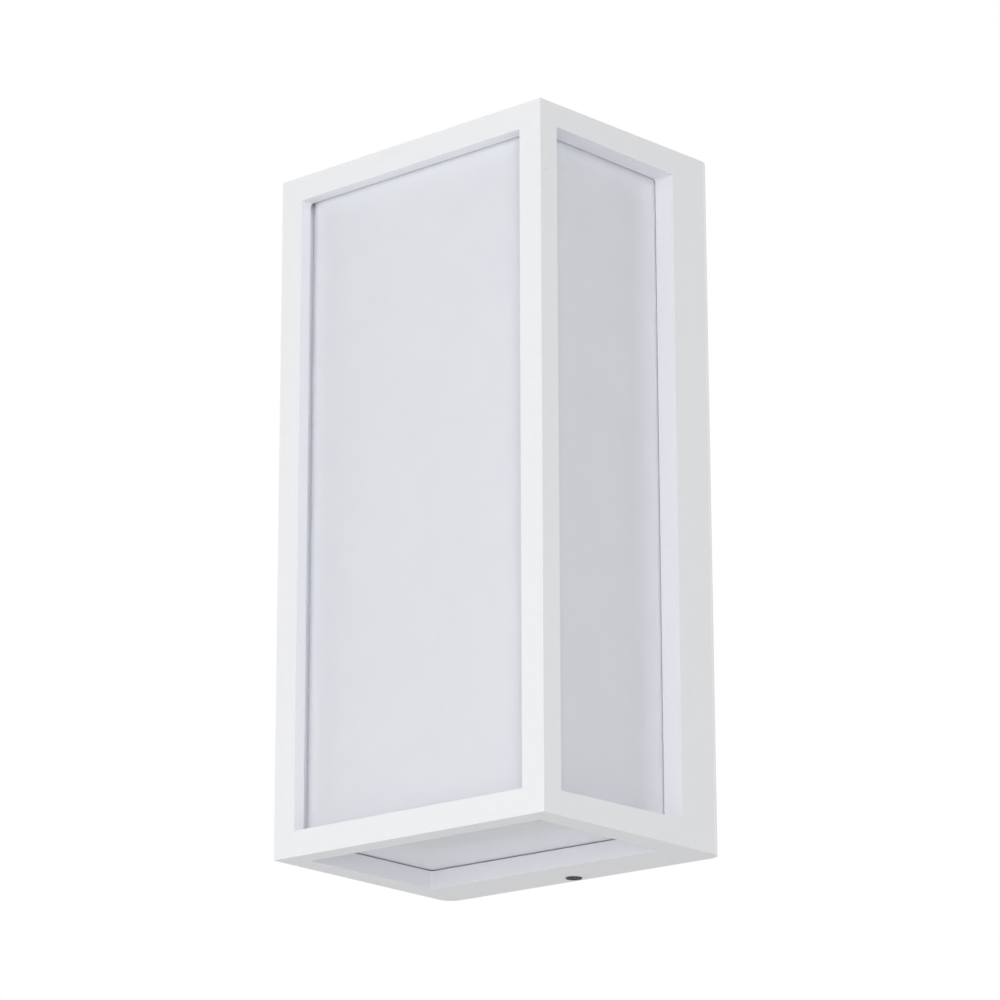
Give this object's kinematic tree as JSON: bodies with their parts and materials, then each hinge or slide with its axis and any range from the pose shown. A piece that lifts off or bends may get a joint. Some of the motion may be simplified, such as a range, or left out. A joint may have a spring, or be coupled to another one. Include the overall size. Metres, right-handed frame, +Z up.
{
  "type": "outdoor wall lantern",
  "caption": "White rectangular outdoor wall lantern: a cast cage with front, side and bottom windows round an opal diffuser box, pushed over a wall tray that carries the LED panel.",
  "frame": {"origin": "centre of the wall tray's back face, on the wall", "axes": "+Z up, +Y into the wall, +X to the right seen from the front"},
  "size_m": [0.13, 0.095, 0.261],
  "materials": {
    "white_powder_coat": "fine satin powder coat on cast aluminium",
    "opal_plastic": "glossy, light-diffusing opal",
    "black_steel": "black oxide, satin",
    "grey_rubber": "matt",
    "zinc_steel": "zinc plated",
    "white_sheet": "white paint on sheet steel",
    "white_plastic": "moulded, matt",
    "circuit_board": "white solder mask",
    "phosphor": "yellow resin",
    "brass": "bright",
    "green_insulation": "green and yellow insulation",
    "blue_insulation": "blue insulation",
    "brown_insulation": "brown insulation",
    "red_insulation": "red insulation",
    "black_insulation": "black insulation"
  },
  "bodies": {
    "wall_base": {"board_screw_bottom": "zinc_steel", "board_screw_top": "zinc_steel", "cable_grommet": "grey_rubber", "driver_case": "white_plastic", "driver_lid": "white_plastic", "driver_screw_1": "zinc_steel", "driver_screw_2": "zinc_steel", "earth_lug": "brass", "earth_screw": "brass", "earth_wire": "green_insulation", "led_board": "circuit_board", "led_chip_01": "phosphor", "led_chip_02": "phosphor", "led_chip_03": "phosphor", "led_chip_04": "phosphor", "led_chip_05": "phosphor", "led_chip_06": "phosphor", "led_chip_07": "phosphor", "led_chip_08": "phosphor", "led_chip_09": "phosphor", "led_chip_10": "phosphor", "led_chip_11": "phosphor", "led_chip_12": "phosphor", "led_connector": "white_plastic", "led_panel": "white_sheet", "led_wire_minus": "black_insulation", "led_wire_plus": "red_insulation", "live_wire": "brown_insulation", "neutral_wire": "blue_insulation", "panel_screw_1": "zinc_steel", "panel_screw_2": "zinc_steel", "panel_screw_3": "zinc_steel", "panel_screw_4": "zinc_steel", "rim_seal": "grey_rubber", "standoff_1": "zinc_steel", "standoff_2": "zinc_steel", "standoff_3": "zinc_steel", "standoff_4": "zinc_steel", "terminal_block": "white_plastic", "wall_tray": "white_sheet"},
    "lantern": {"lantern_frame": "white_powder_coat", "diffuser": "opal_plastic", "diffuser_seal": "grey_rubber", "clamp_bar_top": "zinc_steel", "clamp_bar_bottom": "zinc_steel", "diffuser_screw_1": "zinc_steel", "diffuser_screw_2": "zinc_steel", "diffuser_screw_3": "zinc_steel", "diffuser_screw_4": "zinc_steel"},
    "lock_screw_bottom": {"lock_screw_bottom": "black_steel"},
    "lock_screw_top": {"lock_screw_top": "black_steel"},
    "terminal_screw_earth": {"terminal_screw_earth": "brass"},
    "terminal_screw_live": {"terminal_screw_live": "brass"},
    "terminal_screw_neutral": {"terminal_screw_neutral": "brass"}
  },
  "joints": [
    {"name": "lantern_pull_off", "type": "slide", "parent": "wall_base", "child": "lantern", "axis": [0, -1, 0], "range_m": [0, 0.07]},
    {"name": "lock_screw_bottom_out", "type": "slide", "parent": "lantern", "child": "lock_screw_bottom", "axis": [0, 0, -1], "range_m": [0, 0.008]},
    {"name": "lock_screw_top_out", "type": "slide", "parent": "lantern", "child": "lock_screw_top", "axis": [0, 0, 1], "range_m": [0, 0.008]},
    {"name": "terminal_screw_earth_out", "type": "slide", "parent": "wall_base", "child": "terminal_screw_earth", "axis": [0, -1, 0], "range_m": [0, 0.0025]},
    {"name": "terminal_screw_neutral_out", "type": "slide", "parent": "wall_base", "child": "terminal_screw_neutral", "axis": [0, -1, 0], "range_m": [0, 0.0025]},
    {"name": "terminal_screw_live_out", "type": "slide", "parent": "wall_base", "child": "terminal_screw_live", "axis": [0, -1, 0], "range_m": [0, 0.0025]}
  ]
}
